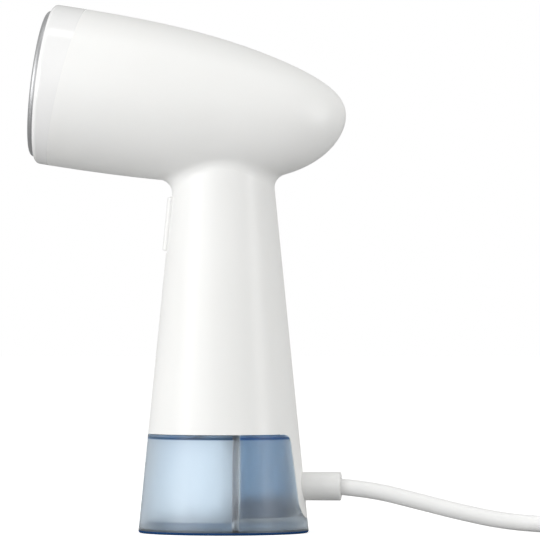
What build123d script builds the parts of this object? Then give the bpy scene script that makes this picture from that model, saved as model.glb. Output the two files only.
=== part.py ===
from build123d import *
import math
import os

# Handheld garment steamer, millimetres.  +Z is up, the steam plate faces -X, the cord leaves
# towards +X, and the origin is the middle of the flat face that the tank stands on.

# ---- overall form ----
BASE_R = 38.8              # radius of the tank at the table
TAPER = 0.0995             # the tank and grip lose this much radius for each mm of height
TANK_TOP = 44.8            # top of the water tank
JOIN_GAP = 0.3             # parting gap between tank and casing
WALL = 2.2                 # casing wall
HEAD_R = 36.9              # radius of the head at its front
HEAD_X = -83.4             # where the head's outline starts to close in
HEAD_OVER_TANK = 159.8     # the head's centre above the top of the tank, at the front
HEAD_LENGTH = 139.2        # from there to the nose at the back
HEAD_Z = TANK_TOP + HEAD_OVER_TANK
GRIP_TOP = HEAD_Z - HEAD_R / 2    # the grip's cone ends inside the head
HEAD_DROP = 21.6           # how far the centre sinks on the way back
NOSE_LIFT = 6.4            # and how far the nose rises again
NOSE_POWER = 2.95          # fullness of the outline
HEAD_STATIONS = 12
NECK_FILLET = 6.0          # between head and grip

# ---- front of the head ----
FACE_X = HEAD_X + 1.55     # centre of the collar's rim
FACE_Z = HEAD_Z - 0.4
FACE_TILT = 7.1            # degrees the rim leans back
SEAM_X = HEAD_X + 11.75    # centre of the joint between collar and casing
SEAM_Z = HEAD_Z - 3.85
SEAM_TILT = 13.9
RIM_FILLET = 2.2
COLLAR_WALL = 3.1
COLLAR_BORE = HEAD_R - COLLAR_WALL
LEDGE_BORE = COLLAR_BORE - 1.0
LEDGE_DEPTH = 2.1
LEDGE_THICK = 2.4
PLATE_CLEAR = 0.3
PLATE_PROUD = 2.5          # the steam plate stands this far ahead of the rim
PLATE_BACK = 2.0           # and reaches this far behind it
PLATE_FILLET = 1.8
STEAM_HOLE_R = 1.5
RECESS_R = COLLAR_BORE - 8.3
RECESS_DEEP = 0.6
STEAM_RINGS = ((9.0, 5), (RECESS_R - 5.5, 9))    # radius of each ring and its holes

# ---- boiler ----
GASKET = 1.2
CHAMBER_DEEP = 10.8        # depth of the hollow
CHAMBER_LONG = 18.8
LUG_R = 3.2
LUG_THICK = 5.0
SCREW_R = 1.45
SCREW_CLEAR = 0.15
SCREW_BITE = 2.5           # how deep the plate screws go into the plate
HEAD_SCREW_R = 2.8
HEAD_SCREW_H = 2.2
BRACKET_THICK = 2.0
BRACKET_R = COLLAR_BORE - 0.4
BRACKET_AT = BRACKET_R - 3.2      # radius of the ring of bracket screws
LUG_AT = BRACKET_R - 4.1   # radius of the ring of plate screws
CHAMBER_R = LUG_AT - 2.8
CHAMBER_WALL = 5.5
CHAMBER_BORE = CHAMBER_R - CHAMBER_WALL
BRACKET_ANGLES = (30, 150, 250, 290)
PLATE_ANGLES = (90, 210, 330)
BOSS_R = 3.1
BOSS_LONG = 13.0
ELEMENT_R = 3.2
ELEMENT_RING = CHAMBER_R - 9.5
ELEMENT_ARC = 300
STAT_R = 6.0
STAT_LONG = 5.0
ELBOW_R = 2.4
HOSE_R = 2.6

# ---- spine at the back of the tank ----
SPINE_TOP_W = 13.6         # half widths of the white tongue
SPINE_LOW_W = 11.6
SPINE_LOW_Z = 7.0
SPINE_FILLET = 9.0
SPINE_CLEAR = 0.35
FLARE = 3.0                # rounding of the tank's upper corners beside the tongue
REAR_WALL_X = 8.0          # inner face of the tank's rear wall
TANK_WALL = 2.0
COLUMN_GAP = 0.6           # between the rear wall and the column
COLUMN_SIDE = 0.84         # between the column and the narrowest part of the tank's skirt
COLUMN_R = BASE_R - TAPER * TANK_TOP - TANK_WALL - COLUMN_SIDE
COLUMN_WALL = 2.4
COLUMN_RIB_Y = 9.5

# ---- tank ----
FOOT_THICK = 1.2
BASE_DISC = 1.8
FLOOR_Z = 5.5
BASE_FILLET = 1.0
WELD_CLEAR = 0.05
NECK_X = -14.0
NECK_R = 9.0
NECK_BORE = 7.0
NECK_H = 3.2
CAP_R = 10.5
CAP_THICK = 1.6
SEAL_THICK = 1.0
TAB_H = 2.9
PICKUP_X = REAR_WALL_X - 5.6
PICKUP_Y = COLUMN_R - 7.5
PICKUP_R = 2.5
PICKUP_BORE = 1.3
FIT = 0.06
TANK_SEAL_R = 4.5
SEAL_LONG = 8.0
NIPPLE_DIP = 6.0           # how far the dock nipple reaches into the tank

# ---- inside of the grip ----
DOCK_Z = TANK_TOP + 17.2   # room for the fill cap under the plate
DOCK_THICK = 2.4
DOCK_BOSS = (-(BASE_R - TAPER * DOCK_Z - WALL - 8.4), 10.0)
POST_X = COLUMN_R - 12.5
POST_Y = 15.5
PUMP_X = 2.0
PUMP_LOW = DOCK_Z + 24.0
PUMP_HIGH = PUMP_LOW + 42.0
PUMP_R = 4.8
PUMP_BORE = 3.3
PISTON_R = 3.22
BARB_LONG = 6.0
BARB_R = 1.9
COIL_LOW = PUMP_LOW + 10.6
COIL_HIGH = PUMP_HIGH - 8.6
COIL_R = 11.3
FRAME_THICK = 1.6
RIB_THICK = 1.8
MOUNT_THICK = 1.8
BOARD_THICK = 1.6
BOARD_W = 20.0
BOARD_LOW = DOCK_Z + 20.0
BOARD_HIGH = BOARD_LOW + 58.0
BOARD_X = BASE_R - TAPER * BOARD_HIGH - WALL - 5.2

# ---- trigger ----
TRIGGER_LOW = TANK_TOP + 83.2
TRIGGER_HIGH = TRIGGER_LOW + 24.7
TRIGGER_W = 14.0
TRIGGER_PROUD = 1.8
TRIGGER_BACK = 2.6
TRIGGER_CLEAR = 0.35
TRIGGER_DROP = 0.85        # clearance below it, because it swings down a little
PIVOT_Z = TRIGGER_HIGH - 3.2
PIVOT_X = -(BASE_R - TAPER * PIVOT_Z - 7.4)
PIN_R = 1.5
PIN_CLEAR = 0.05
CHEEK_IN = 7.6
CHEEK_OUT = 9.4
PLUNGER_Z = TRIGGER_LOW + 5.0
PLUNGER_X = PIVOT_X + 0.4
PLUNGER_GAP = 0.25
BRACKET_BACK = PUMP_X - PUMP_R - 3.4      # inner face of the switch bracket's back wall
SWITCH_TAB = 1.2
SWITCH_X = (PIVOT_X + 2.5, BRACKET_BACK - SWITCH_TAB - 0.225)

# ---- cord ----
CORD_R = 3.75
GLAND_Z = 21.2
GLAND_R = 6.5
GLAND_END = BASE_R - TAPER * GLAND_Z + 16.9
GLAND_FLANGE_R = 8.4
GLAND_FLANGE = 1.8
GLAND_SEAT = COLUMN_R - 1.5       # inner face of the column's back wall
GLAND_POCKET = 3.0
COIL_X = 194.0
COIL_Y = 34.9
COIL_LIFT = 0.8            # the tie's strap lies under the turns
TURN_IN = 37.4
TURN_OUT = TURN_IN + 2 * CORD_R
TURN_LAYERS = 3            # full layers; one half turn lies on top of them
TIE_THICK = 0.6
TIE_CLEAR = 0.15
TIE_WIDE = 12.0
TIE_ANGLE = 200.0          # where it sits, counted round the coil from +X
LOW_TURN = COIL_LIFT + CORD_R
TOP_TURN = LOW_TURN + 2 * CORD_R * TURN_LAYERS
COIL_TOP = COIL_LIFT + 2 * CORD_R * TURN_LAYERS
CORD_ROUTE = [(GLAND_END - GLAND_POCKET, 0, GLAND_Z), (67, 0.3, 19.9), (88, 1.2, 14.6), (108, 0.6, 9.6),
              (128, -1.4, 5.6), (149, -4.9, 4.2), (171.5, -9.0, 4.4), (COIL_X, COIL_Y - TURN_OUT, LOW_TURN)]
PLUG_TURN = 60.0           # the way the plug points, counted from +X
PLUG_RELIEF = 20.0
PLUG_LONG = 30.0
PLUG_W = 24.0
PLUG_H = 17.0
PLUG_Z = COIL_TOP + PLUG_H / 2 + 0.2      # it lies on the coil
TAIL_ROUTE = [(COIL_X - 20.7, COIL_Y - 44.9, TOP_TURN), (COIL_X - 6, COIL_Y - 44.9, 27.4),
              (COIL_X + 7.8, COIL_Y - 39.9, 28.6), (COIL_X + 19.1, COIL_Y - 30.4, 30.6),
              (COIL_X + 26.4, COIL_Y - 17.7, PLUG_Z)]
BLADE_THICK = 1.5
BLADE_W = 6.35
BLADE_LONG = 16.0
BLADE_APART = 12.7
BLADE_ROOT = 8.0           # how deep the blades sit in the plug

BASE = (Align.CENTER, Align.CENTER, Align.MIN)


# ---- helpers ----
def cone_r(z):
    return BASE_R - TAPER * z


def cone(z0, z1, inset=0.0):
    return Pos(0, 0, z0) * Cone(cone_r(z0) - inset, cone_r(z1) - inset, z1 - z0, align=BASE)


def block(x0, x1, y0, y1, z0, z1):
    return Pos((x0 + x1) / 2, (y0 + y1) / 2, (z0 + z1) / 2) * Box(x1 - x0, y1 - y0, z1 - z0)


def rod_z(r, z0, z1, x=0.0, y=0.0):
    return Pos(x, y, z0) * Cylinder(r, z1 - z0, align=BASE)


def rod_x(r, x0, x1, y=0.0, z=0.0):
    return Pos(x0, y, z) * Rot(0, 90, 0) * Cylinder(r, x1 - x0, align=BASE)


def rod_y(r, y0, y1, x=0.0, z=0.0):
    return Pos(x, y0, z) * Rot(-90, 0, 0) * Cylinder(r, y1 - y0, align=BASE)


def leaning(x, z, tilt):
    a = math.radians(tilt)
    return Plane(origin=(x, 0, z), x_dir=(0, -1, 0), z_dir=(-math.cos(a), 0, math.sin(a)))


FACE = leaning(FACE_X, FACE_Z, FACE_TILT)
SEAM = leaning(SEAM_X, SEAM_Z, SEAM_TILT)


def ahead_of(plane):
    return plane * Box(300, 300, 200, align=BASE)


def boiler_rod(r, w0, w1, x=0.0, y=0.0):
    # a cylinder square to the rim, from w0 to w1 behind it
    return FACE * Pos(x, y, -w1) * Cylinder(r, w1 - w0, align=BASE)


def around(radius, angle):
    return radius * math.cos(math.radians(angle)), radius * math.sin(math.radians(angle))


def head_form(inset=0.0):
    length = HEAD_LENGTH - inset
    sections = []
    for k in range(-1, HEAD_STATIONS):
        turn = math.pi / 2 * max(k, 0) / HEAD_STATIONS
        share = math.sin(turn) ** (2 / NOSE_POWER) if k >= 0 else -0.07
        x = HEAD_X + share * length
        z = HEAD_Z - HEAD_DROP * share + NOSE_LIFT * max(share, 0) ** 8
        plane = Plane(origin=(x, 0, z), x_dir=(0, 0, 1), z_dir=(1, 0, 0))
        sections.append(plane * Circle((HEAD_R - inset) * math.cos(turn)))
    nose = Vertex(HEAD_X + length, 0, HEAD_Z - HEAD_DROP + NOSE_LIFT)
    return loft(sections + [nose])


def spine_outline(grow=0.0, top=TANK_TOP + JOIN_GAP + 3):
    # the tongue seen from behind, in Y and Z, with its upper corners flared out
    low = SPINE_LOW_Z - grow
    outline = Polygon((SPINE_TOP_W + grow, top), (SPINE_LOW_W + grow, low),
                      (-SPINE_LOW_W - grow, low), (-SPINE_TOP_W - grow, top), align=None)
    lower = outline.vertices().sort_by(Axis.Y)[:2]
    outline = fillet(lower, SPINE_FILLET + grow)
    flare_r = FLARE + SPINE_CLEAR - grow
    centre_y = SPINE_TOP_W + grow + flare_r
    for side in (-1, 1):
        corner = Pos(side * (SPINE_TOP_W + grow + flare_r / 2 - 0.5), TANK_TOP - flare_r / 2 + 0.5)
        corner = corner * Rectangle(flare_r + 1, flare_r + 1)
        outline += corner - Pos(side * centre_y, TANK_TOP - flare_r) * Circle(flare_r)
    return Plane(origin=(0, 0, 0), x_dir=(0, 1, 0), z_dir=(1, 0, 0)) * outline


def spine_prism(grow=0.0):
    return Pos(15, 0, 0) * extrude(spine_outline(grow), 40, dir=(1, 0, 0))


def tube(points, outer, bore=0.0):
    radii = []
    for a, b, c in zip(points, points[1:], points[2:]):
        run_in = Vector(*b) - Vector(*a)
        run_out = Vector(*c) - Vector(*b)
        half = math.radians(run_in.get_angle(run_out)) / 2
        radii.append(0.45 * min(run_in.length, run_out.length) / math.tan(half))
    path = FilletPolyline(*points, radius=radii) if radii else Line(*points)
    section = Circle(outer) - Circle(bore) if bore else Circle(outer)
    start = Plane(origin=path @ 0, z_dir=path % 0)
    return sweep(start * section, path=path), radii, path


# ---- forms shared by several pieces ----
HEAD_OUT = head_form()
HEAD_IN = head_form(WALL)
LOW_EDGE = TANK_TOP + JOIN_GAP


def casing_form():
    form = HEAD_OUT + cone(LOW_EDGE, GRIP_TOP)
    joint = [e for e in form.edges() if HEAD_Z - 1.35 * HEAD_R < e.center().Z < HEAD_Z - 0.81 * HEAD_R]
    form = fillet(joint, NECK_FILLET)
    tongue = cone(SPINE_LOW_Z, LOW_EDGE) & spine_prism()
    return form + tongue


CASING_OUT = casing_form()
CASING_IN = HEAD_IN + cone(0, GRIP_TOP, WALL)
GRIP_IN = cone(0, GRIP_TOP, WALL + 0.15)


# ---- casing ----
def casing_ribs():
    ribs = []
    for z in (PUMP_SHELF, PUMP_ROOF):
        shelf = cone(z, z + RIB_THICK, WALL / 2)
        shelf -= rod_z(PUMP_R + 1.6, z - 1, z + RIB_THICK + 1, PUMP_X)
        shelf -= block(PUMP_X + 7, BASE_R, -11.5, 11.5, z - 1, z + RIB_THICK + 1)
        ribs.append(shelf)
    top = DOCK_Z + DOCK_THICK
    ledge = cone(top, top + RIB_THICK, WALL / 2) - cone(top - 1, top + RIB_THICK + 1, WALL + 2.2)
    ribs.append(ledge)
    for side in (-1, 1):
        x, y = DOCK_BOSS[0], side * DOCK_BOSS[1]
        boss = rod_z(BOSS_R, top, top + 12, x, y)
        web = block(-BASE_R, x, y - 1, y + 1, top, top + 12) & cone(top, top + 12, WALL / 2)
        ribs.append(boss + web - rod_z(SCREW_R, top - 1, top + 10, x, y))
    for angle in BRACKET_ANGLES:
        ribs.append(bracket_boss(angle))
    return ribs


def bracket_boss(angle):
    start = bracket_back()
    x, y = around(BRACKET_AT, angle)
    boss = boiler_rod(BOSS_R, start, start + BOSS_LONG, x, y)
    web = FACE * Rot(0, 0, angle) * Pos(BRACKET_AT + 4, 0, -start - BOSS_LONG)
    web = web * Box(8, 2.0, BOSS_LONG, align=BASE)
    boss = (boss + web) & HEAD_OUT
    return boss - boiler_rod(SCREW_R, start - 1, start + BOSS_LONG - 2, x, y)


def casing_shell(side):
    half = block(-120, 120, 0, 120, 0, 260) if side > 0 else block(-120, 120, -120, 0, 0, 260)
    shell = CASING_OUT - CASING_IN
    for rib in casing_ribs():
        shell += rib
    shell -= ahead_of(SEAM)
    low = TRIGGER_LOW - TRIGGER_DROP
    high = TRIGGER_HIGH + TRIGGER_CLEAR
    reach = TRIGGER_W / 2 + TRIGGER_CLEAR
    shell -= block(-BASE_R, PIVOT_X, -reach, reach, low, high)
    shell -= rod_x(GLAND_R + FIT, GLAND_SEAT, 50, 0, GLAND_Z)
    return shell & half


def front_collar():
    ring = (HEAD_OUT & ahead_of(SEAM)) - ahead_of(FACE)
    rim = ring.edges().filter_by(lambda e: e.length > 200).sort_by(Axis.X)[0]
    ring = fillet(rim, RIM_FILLET)
    ring -= boiler_rod(COLLAR_BORE, -5, LEDGE_DEPTH)
    ring -= boiler_rod(LEDGE_BORE, -5, 40)
    ring -= boiler_rod(COLLAR_BORE, LEDGE_DEPTH + LEDGE_THICK, 40)
    return ring


# ---- steam plate and boiler ----
def chamber_front():
    return PLATE_BACK + GASKET


def bracket_back():
    return chamber_front() + LUG_THICK + BRACKET_THICK


def steam_plate():
    radius = COLLAR_BORE - PLATE_CLEAR
    plate = boiler_rod(radius, -PLATE_PROUD, PLATE_BACK)
    front = plate.edges().sort_by(Axis.X)[0]
    plate = fillet(front, PLATE_FILLET)
    plate -= boiler_rod(RECESS_R, -PLATE_PROUD - 1, RECESS_DEEP - PLATE_PROUD)
    for ring, count in STEAM_RINGS:
        for k in range(count):
            x, y = around(ring, 90 + 360 * k / count)
            plate -= boiler_rod(STEAM_HOLE_R, -PLATE_PROUD - 1, PLATE_BACK + 1, x, y)
    for angle in PLATE_ANGLES:
        x, y = around(LUG_AT, angle)
        plate -= boiler_rod(SCREW_R, PLATE_BACK - SCREW_BITE - 0.3, PLATE_BACK + 1, x, y)
    return plate


def plate_gasket():
    ring = boiler_rod(CHAMBER_R - 0.5, PLATE_BACK, PLATE_BACK + GASKET)
    return ring - boiler_rod(CHAMBER_BORE + 0.5, PLATE_BACK - 1, PLATE_BACK + GASKET + 1)


def element_form():
    back = chamber_front() + CHAMBER_LONG
    ring = FACE * Pos(0, 0, -back) * Rot(0, 0, 120) * Torus(ELEMENT_RING, ELEMENT_R,
                                                           major_angle=ELEMENT_ARC)
    for angle in (120, 120 + ELEMENT_ARC):
        x, y = around(ELEMENT_RING, angle)
        ring += boiler_rod(ELEMENT_R, back, back + 8, x, y)
        ring += boiler_rod(1.2, back + 8, back + 14, x, y)
    return ring


def steam_chamber():
    front = chamber_front()
    body = boiler_rod(CHAMBER_R, front, front + CHAMBER_LONG)
    for angle in PLATE_ANGLES:
        x, y = around(LUG_AT, angle)
        body += boiler_rod(LUG_R, front, front + LUG_THICK, x, y)
    body -= boiler_rod(CHAMBER_BORE, front - 1, front + CHAMBER_DEEP)
    for k in range(4):
        rib = FACE * Pos(0, -12 + 8 * k, -front - CHAMBER_DEEP - 0.5)
        shift = 5 if k % 2 else -5
        rib = rib * Pos(shift, 0, 0) * Box(28, 1.6, CHAMBER_DEEP - 1, align=BASE)
        body += rib & boiler_rod(CHAMBER_BORE + 1, front + 0.8, front + CHAMBER_DEEP + 1)
    for angle in PLATE_ANGLES:
        x, y = around(LUG_AT, angle)
        body -= boiler_rod(SCREW_R + SCREW_CLEAR, front - 1, front + LUG_THICK + 1, x, y)
    body -= boiler_rod(ELBOW_R, front + CHAMBER_DEEP - 1, front + CHAMBER_LONG + 1, 0, -8)
    return body - element_form()


def boiler_bracket():
    start = chamber_front() + LUG_THICK
    ring = boiler_rod(BRACKET_R, start, start + BRACKET_THICK)
    ring -= boiler_rod(CHAMBER_R + 0.3, start - 1, start + BRACKET_THICK + 1)
    for angle in PLATE_ANGLES:
        x, y = around(LUG_AT, angle)
        ring -= boiler_rod(SCREW_R + SCREW_CLEAR, start - 1, start + BRACKET_THICK + 1, x, y)
    for angle in BRACKET_ANGLES:
        x, y = around(BRACKET_AT, angle)
        ring -= boiler_rod(SCREW_R + SCREW_CLEAR, start - 1, start + BRACKET_THICK + 1, x, y)
    return ring


def screw_set(places, tip, seat, towards_back):
    # pan-head screws square to the rim; seat is under the head, tip is the far end
    screws = []
    for x, y in places:
        low, high = min(tip, seat), max(tip, seat)
        screw = boiler_rod(SCREW_R, low, high, x, y)
        if towards_back:
            head = boiler_rod(HEAD_SCREW_R, seat - HEAD_SCREW_H, seat, x, y)
        else:
            head = boiler_rod(HEAD_SCREW_R, seat, seat + HEAD_SCREW_H, x, y)
        screws.append(screw + head)
    return Compound(children=screws)


def plate_screws():
    places = [around(LUG_AT, angle) for angle in PLATE_ANGLES]
    return screw_set(places, PLATE_BACK - SCREW_BITE, bracket_back(), False)


def bracket_screws():
    places = [around(BRACKET_AT, angle) for angle in BRACKET_ANGLES]
    seat = chamber_front() + LUG_THICK
    return screw_set(places, bracket_back() + 9, seat, True)


def thermostat():
    back = chamber_front() + CHAMBER_LONG
    can = boiler_rod(STAT_R, back, back + STAT_LONG, 0, 5)
    cap = boiler_rod(STAT_R - 1.2, back + STAT_LONG, back + STAT_LONG + 4, 0, 5)
    tabs = boiler_rod(1.0, back + STAT_LONG + 4, back + STAT_LONG + 9, -3, 5)
    tabs += boiler_rod(1.0, back + STAT_LONG + 4, back + STAT_LONG + 9, 3, 5)
    return can + cap + tabs


def thermal_fuse():
    back = chamber_front() + CHAMBER_LONG
    place = FACE * Pos(9.2, -1.5, -back - 1.6) * Rot(90, 0, 0)
    return place * Cylinder(1.6, 9) + place * Cylinder(0.5, 14)


def inlet_elbow():
    start = chamber_front() + CHAMBER_DEEP + 0.5
    back = chamber_front() + CHAMBER_LONG
    stem = boiler_rod(ELBOW_R, start, back, 0, -8)
    stem += boiler_rod(ELBOW_R + 1.2, back, back + 3, 0, -8)
    stem += boiler_rod(BARB_R, back + 3, back + 10, 0, -8)
    return stem - boiler_rod(1.1, start - 1, back + 12, 0, -8)


def elbow_mouth():
    back = chamber_front() + CHAMBER_LONG
    return FACE.from_local_coords(Vector(0, -8, -(back + 4)))


def pump_hose():
    mouth = elbow_mouth()
    ahead = FACE.from_local_coords(Vector(0, -8, -(chamber_front() + CHAMBER_LONG + 24)))
    top = PUMP_HIGH + BARB_LONG
    points = [tuple(mouth), tuple(ahead), (PUMP_X - 13, 0, HEAD_Z - 24),
              (PUMP_X, 0, HEAD_Z - 46), (PUMP_X, 0, top - 5)]
    hose = tube(points, HOSE_R, BARB_R)[0]
    return hose


def heater_wires():
    back = chamber_front() + CHAMBER_LONG + 14
    wires = []
    for k, angle in enumerate((120, 120 + ELEMENT_ARC)):
        x, y = around(ELEMENT_RING, angle)
        start = FACE.from_local_coords(Vector(x, y, -back))
        onward = FACE.from_local_coords(Vector(x, y, -back - 12))
        side = start.Y
        points = [tuple(start), tuple(onward), (6, side * 0.7, HEAD_Z - 20),
                  (BOARD_X - 3, side * 0.55, HEAD_Z - 40), (BOARD_X - 2.2, side * 0.5, BOARD_HIGH - 4)]
        wires.append(tube(points, 1.1)[0])
    return Compound(children=wires)


# ---- pump ----
PUMP_SHELF = COIL_LOW - FRAME_THICK - MOUNT_THICK - RIB_THICK
PUMP_ROOF = COIL_HIGH + FRAME_THICK + MOUNT_THICK


def pump_body():
    body = rod_z(PUMP_R, PUMP_LOW, PUMP_HIGH, PUMP_X)
    body += rod_z(BARB_R, PUMP_LOW - BARB_LONG, PUMP_LOW, PUMP_X)
    body += rod_z(BARB_R, PUMP_HIGH, PUMP_HIGH + BARB_LONG, PUMP_X)
    body -= rod_z(PUMP_BORE, PUMP_LOW + 3, PUMP_HIGH - 3, PUMP_X)
    return body - rod_z(1.0, PUMP_LOW - BARB_LONG - 1, PUMP_HIGH + BARB_LONG + 1, PUMP_X)


def pump_coil():
    coil = rod_z(COIL_R - 1.2, COIL_LOW, COIL_HIGH, PUMP_X)
    coil += rod_z(COIL_R, COIL_LOW, COIL_LOW + 1.4, PUMP_X)
    coil += rod_z(COIL_R, COIL_HIGH - 1.4, COIL_HIGH, PUMP_X)
    return coil - rod_z(PUMP_R + FIT, COIL_LOW - 1, COIL_HIGH + 1, PUMP_X)


def pump_frame():
    low, high = COIL_LOW - FRAME_THICK, COIL_HIGH + FRAME_THICK
    wide = COIL_R + 0.2 + FRAME_THICK
    frame = block(PUMP_X - 9, PUMP_X + 9, -wide, wide, low, high)
    frame -= block(PUMP_X - 15, PUMP_X + 15, FRAME_THICK - wide, wide - FRAME_THICK, COIL_LOW, COIL_HIGH)
    return frame - rod_z(PUMP_R + FIT, low - 1, high + 1, PUMP_X)


def pump_mounts():
    rings = []
    for z in (PUMP_SHELF + RIB_THICK, PUMP_ROOF - MOUNT_THICK):
        ring = rod_z(PUMP_R + 3.2, z, z + MOUNT_THICK, PUMP_X)
        rings.append(ring - rod_z(PUMP_R + FIT, z - 1, z + MOUNT_THICK + 1, PUMP_X))
    return Compound(children=rings)


def pump_piston():
    low = PUMP_LOW + 14
    piston = rod_z(PISTON_R, low, low + 14, PUMP_X)
    return piston - rod_z(1.2, low - 1, low + 15, PUMP_X)


def suction_hose():
    top = DOCK_Z + DOCK_THICK + BARB_LONG
    level = top + 5.5
    points = [(PICKUP_X, PICKUP_Y, top - 5), (PICKUP_X, PICKUP_Y, level),
              (PUMP_X, 0, level + 0.3), (PUMP_X, 0, PUMP_LOW - 1)]
    path = FilletPolyline(*points, radius=3.8)
    section = Circle(HOSE_R) - Circle(BARB_R)
    return sweep(Plane(origin=path @ 0, z_dir=path % 0) * section, path=path)


# ---- electrics ----
def control_board():
    board = block(BOARD_X, BOARD_X + BOARD_THICK, -BOARD_W / 2, BOARD_W / 2, BOARD_LOW, BOARD_HIGH)
    for z in (BOARD_LOW + 3, BOARD_HIGH - 3):
        for y in (-BOARD_W / 2 + 2.5, BOARD_W / 2 - 2.5):
            board -= rod_x(1.2, BOARD_X - 1, BOARD_X + 3, y, z)
    return board


def board_parts():
    x = BOARD_X
    relay = block(x - 8, x, -8, 6, BOARD_HIGH - 14.5, BOARD_HIGH - 6.5)
    capacitor = rod_x(3.2, x - 7, x, -4, BOARD_LOW + 8)
    driver = block(x - 3, x, 2, 8, BOARD_LOW + 5.5, BOARD_LOW + 10.5)
    return Compound(children=[relay, capacitor, driver])


def supply_wires():
    wires = []
    for side in (-1, 1):
        points = [(18, side * 2.4, GLAND_Z), (15.9, side * 3.4, GLAND_Z + 12), (18.5, side * 3.8, DOCK_Z - 7),
                  (19.5, side * 4.2, DOCK_Z + 8), (BOARD_X - 5, side * 4.5, BOARD_LOW + 2.2),
                  (BOARD_X, side * 4.5, BOARD_LOW + 2.2)]
        wires.append(tube(points, 1.1)[0])
    return Compound(children=wires)


# ---- trigger and switch ----
def trigger():
    low, high = TRIGGER_LOW, TRIGGER_HIGH
    lever = cone(low, high, -TRIGGER_PROUD) & block(-60, PIVOT_X, -TRIGGER_W / 2, TRIGGER_W / 2,
                                                    low, high)
    outside = [e for e in lever.edges() if e.center().X < -(cone_r(e.center().Z) - TRIGGER_BACK - 1.4)]
    lever = fillet(outside, 1.3)
    lever -= cone(low - 1, high + 1, TRIGGER_BACK)
    lug = block(-cone_r(high) + 1.5, PIVOT_X, -5, 5, PIVOT_Z - 2.6, PIVOT_Z + 2.6)
    lever += lug + rod_y(2.6, -6, 6, PIVOT_X, PIVOT_Z)
    lever += block(-cone_r(PLUNGER_Z) + 1.5, PLUNGER_X - PLUNGER_GAP, -2, 2, PLUNGER_Z - 1.5, PLUNGER_Z + 1.5)
    lip = cone(low - 1.9, low + 1, WALL + 0.2) - cone(low - 3, low + 2, WALL + 1.8)
    lever += lip & block(-60, PIVOT_X, -5, 5, low - 1.9, low + 1)
    return lever - rod_y(PIN_R + PIN_CLEAR, -8, 8, PIVOT_X, PIVOT_Z)


def trigger_pin():
    return rod_y(PIN_R, -CHEEK_OUT, CHEEK_OUT, PIVOT_X, PIVOT_Z)


def switch_bracket():
    low, high = PUMP_ROOF + RIB_THICK + 0.3, PIVOT_Z + 6
    frame = block(PIVOT_X - 4, PUMP_X - PUMP_R - 1.6, -CHEEK_OUT, CHEEK_OUT, low, high)
    frame -= block(PIVOT_X - 5, BRACKET_BACK, -CHEEK_IN, CHEEK_IN, low - 1, high + 1)
    frame &= GRIP_IN
    return frame - rod_y(PIN_R, -20, 20, PIVOT_X, PIVOT_Z)


def microswitch():
    x0, x1 = SWITCH_X
    body = block(x0, x1, -CHEEK_IN, CHEEK_IN, PLUNGER_Z - 4.5, PLUNGER_Z + 5)
    body -= rod_x(1.3 + PIN_CLEAR, x0 - 1, x0 + 3, 0, PLUNGER_Z)
    for y in (-4, 4):
        body += block(x1, x1 + SWITCH_TAB, y - 1.5, y + 1.5, PLUNGER_Z + 1, PLUNGER_Z + 2)
    return body


def switch_plunger():
    return rod_x(1.3, PLUNGER_X, SWITCH_X[0] + 1.6, 0, PLUNGER_Z)


def trigger_spring():
    front = -cone_r(PIVOT_Z - 9) + TRIGGER_BACK
    top = PIVOT_Z - 4.5
    line = Polyline((BRACKET_BACK - 0.2, top), (BRACKET_BACK - 4, top - 0.4), (BRACKET_BACK - 9, top - 3.8),
                    (front + 0.35, top - 4.7))
    strip = extrude(Plane.XZ * trace(line, 0.4), 2.5, both=True)
    return strip


# ---- dock, column and gland ----
def dock_plate():
    plate = cone(DOCK_Z, DOCK_Z + DOCK_THICK, WALL + 0.15)
    for side in (-1, 1):
        plate -= rod_z(SCREW_R + SCREW_CLEAR, DOCK_Z - 1, DOCK_Z + 4, DOCK_BOSS[0], side * DOCK_BOSS[1])
        plate -= rod_z(SCREW_R + SCREW_CLEAR, DOCK_Z - 1, DOCK_Z + 4, POST_X, side * POST_Y)
    plate -= rod_z(PICKUP_R, DOCK_Z - 1, DOCK_Z + 4, PICKUP_X, PICKUP_Y)
    return plate - block(14.5, 24, -8, 8, DOCK_Z - 1, DOCK_Z + 4)


def dock_nipple():
    low = TANK_TOP - NIPPLE_DIP
    top = DOCK_Z + DOCK_THICK
    nipple = rod_z(PICKUP_R, low, top, PICKUP_X, PICKUP_Y)
    nipple += rod_z(PICKUP_R + 1.6, DOCK_Z - 1.6, DOCK_Z, PICKUP_X, PICKUP_Y)
    nipple += rod_z(BARB_R, top, top + BARB_LONG, PICKUP_X, PICKUP_Y)
    return nipple - rod_z(1.1, low - 1, top + BARB_LONG + 1, PICKUP_X, PICKUP_Y)


def dock_screws():
    top = DOCK_Z + DOCK_THICK
    screws = []
    for side in (-1, 1):
        x, y = DOCK_BOSS[0], side * DOCK_BOSS[1]
        screws.append(rod_z(SCREW_R, DOCK_Z, top + 8, x, y)
                      + rod_z(HEAD_SCREW_R, DOCK_Z - HEAD_SCREW_H, DOCK_Z, x, y))
    return Compound(children=screws)


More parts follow.
